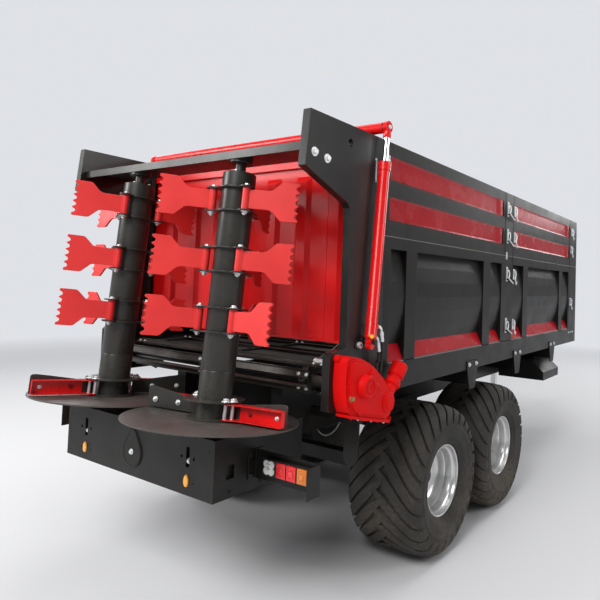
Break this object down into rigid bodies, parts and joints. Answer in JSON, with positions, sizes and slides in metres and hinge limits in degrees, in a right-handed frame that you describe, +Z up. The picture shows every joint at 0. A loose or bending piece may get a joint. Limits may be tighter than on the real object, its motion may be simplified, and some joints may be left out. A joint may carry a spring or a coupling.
{
  "type": "solid manure spreader",
  "caption": "Towed tandem-axle solid manure spreader: open box body, scraper floor, sliding rear door, two upright beaters with toothed knives over spreading discs.",
  "frame": {"origin": "on the ground, in the middle of the footprint", "axes": "+Y towards the tractor, +X to the machine's right, +Z up"},
  "size_m": [2.2, 7.0142, 2.594],
  "materials": {
    "black_paint": "satin",
    "red_paint": "gloss",
    "zinc_steel": "satin",
    "worn_steel": "rough",
    "tyre_rubber": "matte"
  },
  "bodies": {
    "spreader": {"body_floor": "worn_steel", "chassis_frame": "black_paint", "drawbar": "black_paint", "driveline": "zinc_steel", "floor_gearbox": "red_paint", "front_axle": "black_paint", "front_floor_shaft": "worn_steel", "front_left_board": "black_paint", "front_right_board": "black_paint", "front_wall": "black_paint", "jack_tube": "black_paint", "left_bogie_spring": "black_paint", "left_lamp_bracket": "black_paint", "left_rear_plate": "black_paint", "left_side_panel": "black_paint", "rear_axle": "black_paint", "rear_floor_shaft": "worn_steel", "rear_left_board": "black_paint", "rear_right_board": "black_paint", "right_bogie_spring": "black_paint", "right_lamp_bracket": "black_paint", "right_rear_plate": "black_paint", "right_side_panel": "black_paint", "scraper_floor": "worn_steel", "toolbox": "black_paint", "top_beam": "black_paint", "transmission_housing": "black_paint"},
    "rear_right_wheel": {"rear_right_tyre": "tyre_rubber", "rear_right_rim": "zinc_steel"},
    "rear_left_wheel": {"rear_left_tyre": "tyre_rubber", "rear_left_rim": "zinc_steel"},
    "front_right_wheel": {"front_right_tyre": "tyre_rubber", "front_right_rim": "zinc_steel"},
    "front_left_wheel": {"front_left_tyre": "tyre_rubber", "front_left_rim": "zinc_steel"},
    "right_beater": {"right_beater_drum": "black_paint", "right_knives_level_1": "red_paint", "right_knives_level_2": "red_paint", "right_knives_level_3": "red_paint", "right_spreading_disc": "worn_steel", "right_disc_paddles": "red_paint"},
    "right_barrel": {"right_lift_barrel": "red_paint"},
    "right_rod": {"right_lift_rod": "zinc_steel"},
    "left_beater": {"left_beater_drum": "black_paint", "left_knives_level_1": "red_paint", "left_knives_level_2": "red_paint", "left_knives_level_3": "red_paint", "left_spreading_disc": "worn_steel", "left_disc_paddles": "red_paint"},
    "left_barrel": {"left_lift_barrel": "red_paint"},
    "left_rod": {"left_lift_rod": "zinc_steel"},
    "door": {"rear_door": "red_paint", "lift_pipe": "red_paint"},
    "parking_leg": {"jack_leg": "zinc_steel"}
  },
  "joints": [
    {"name": "rear_right_wheel_spin", "type": "hinge", "parent": "spreader", "child": "rear_right_wheel", "pos_m": [0.85, -1.72289, 0.46846], "axis": [1, 0, 0], "continuous": true},
    {"name": "rear_left_wheel_spin", "type": "hinge", "parent": "spreader", "child": "rear_left_wheel", "pos_m": [-0.85, -1.72289, 0.46846], "axis": [1, 0, 0], "continuous": true},
    {"name": "front_right_wheel_spin", "type": "hinge", "parent": "spreader", "child": "front_right_wheel", "pos_m": [0.85, -0.72289, 0.46846], "axis": [1, 0, 0], "continuous": true},
    {"name": "front_left_wheel_spin", "type": "hinge", "parent": "spreader", "child": "front_left_wheel", "pos_m": [-0.85, -0.72289, 0.46846], "axis": [1, 0, 0], "continuous": true},
    {"name": "right_beater_spin", "type": "hinge", "parent": "spreader", "child": "right_beater", "pos_m": [0.4345, -3.07889, 1.006], "axis": [0, 0.0872, 0.9962], "continuous": true},
    {"name": "left_beater_spin", "type": "hinge", "parent": "spreader", "child": "left_beater", "pos_m": [-0.4345, -3.07889, 1.006], "axis": [0, 0.0872, 0.9962], "continuous": true},
    {"name": "rear_door_slide", "type": "slide", "parent": "spreader", "child": "door", "axis": [0, 0, 1], "range_m": [0, 0.85]},
    {"name": "right_barrel_tilt", "type": "hinge", "parent": "spreader", "child": "right_barrel", "pos_m": [1.02, -2.56489, 1.4], "axis": [1, 0, 0], "range_deg": [0, 2.2]},
    {"name": "right_rod_slide", "type": "slide", "parent": "right_barrel", "child": "right_rod", "axis": [0, 0.0876, 0.9962], "range_m": [0, 0.85]},
    {"name": "left_barrel_tilt", "type": "hinge", "parent": "spreader", "child": "left_barrel", "pos_m": [-1.02, -2.56489, 1.4], "axis": [1, 0, 0], "range_deg": [0, 2.2]},
    {"name": "left_rod_slide", "type": "slide", "parent": "left_barrel", "child": "left_rod", "axis": [0, 0.0876, 0.9962], "range_m": [0, 0.85]},
    {"name": "parking_leg_slide", "type": "slide", "parent": "spreader", "child": "parking_leg", "axis": [0, 0, 1], "range_m": [0, 0.35]}
  ],
  "couplings": [
    {"joint": "left_beater_spin", "follows": "right_beater_spin", "ratio": -1},
    {"joint": "right_barrel_tilt", "follows": "rear_door_slide", "rad_per_m": 0.043535},
    {"joint": "right_rod_slide", "follows": "rear_door_slide", "ratio": 0.99778},
    {"joint": "left_barrel_tilt", "follows": "rear_door_slide", "rad_per_m": 0.043535},
    {"joint": "left_rod_slide", "follows": "rear_door_slide", "ratio": 0.99778}
  ]
}
